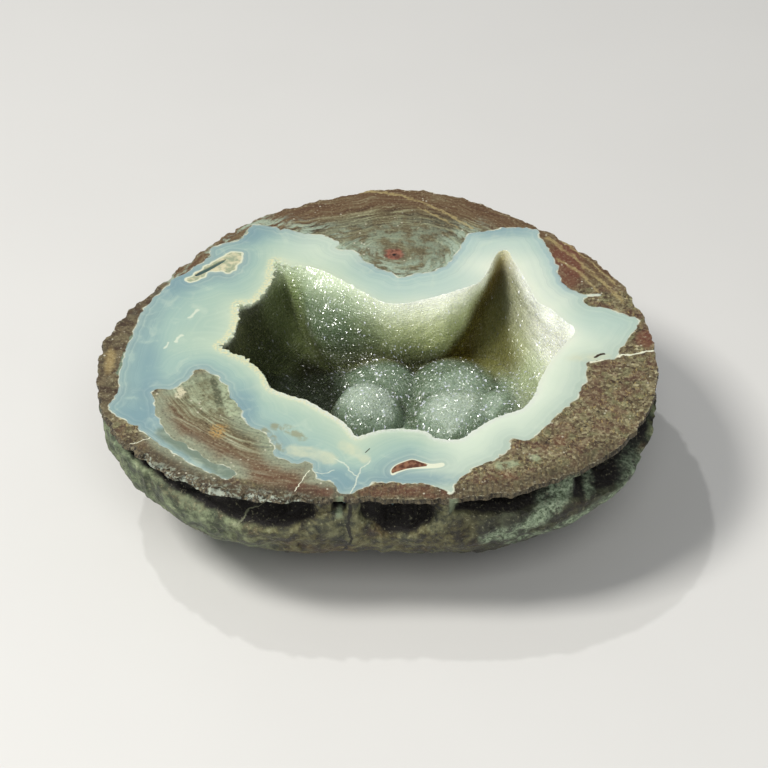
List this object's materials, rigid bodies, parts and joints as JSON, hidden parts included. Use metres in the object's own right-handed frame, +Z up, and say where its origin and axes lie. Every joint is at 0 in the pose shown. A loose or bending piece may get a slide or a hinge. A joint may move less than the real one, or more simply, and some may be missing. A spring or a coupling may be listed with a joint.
{
  "type": "agate geode half",
  "caption": "Sawn half of an agate geode: a flat polished face with a rock rind, a star-shaped agate band and a crystal-lined hollow.",
  "frame": {"origin": "centre of the flat base the stone rests on, at the middle of the bounding box in X and Y", "axes": "+X along the longest side, +Y across it towards the back of the sawn face, +Z up, normal to the sawn face"},
  "size_m": [0.1007, 0.0895, 0.031],
  "materials": {
    "rhyolite": "sawn flat and dull on the face, rough and pitted on the outside",
    "agate": "polished, slightly translucent",
    "quartz_druse": "glassy, many small crystal points"
  },
  "bodies": {
    "root": {"rock_rind": "rhyolite", "agate_band": "agate", "crystal_crust": "quartz_druse"}
  },
  "joints": []
}
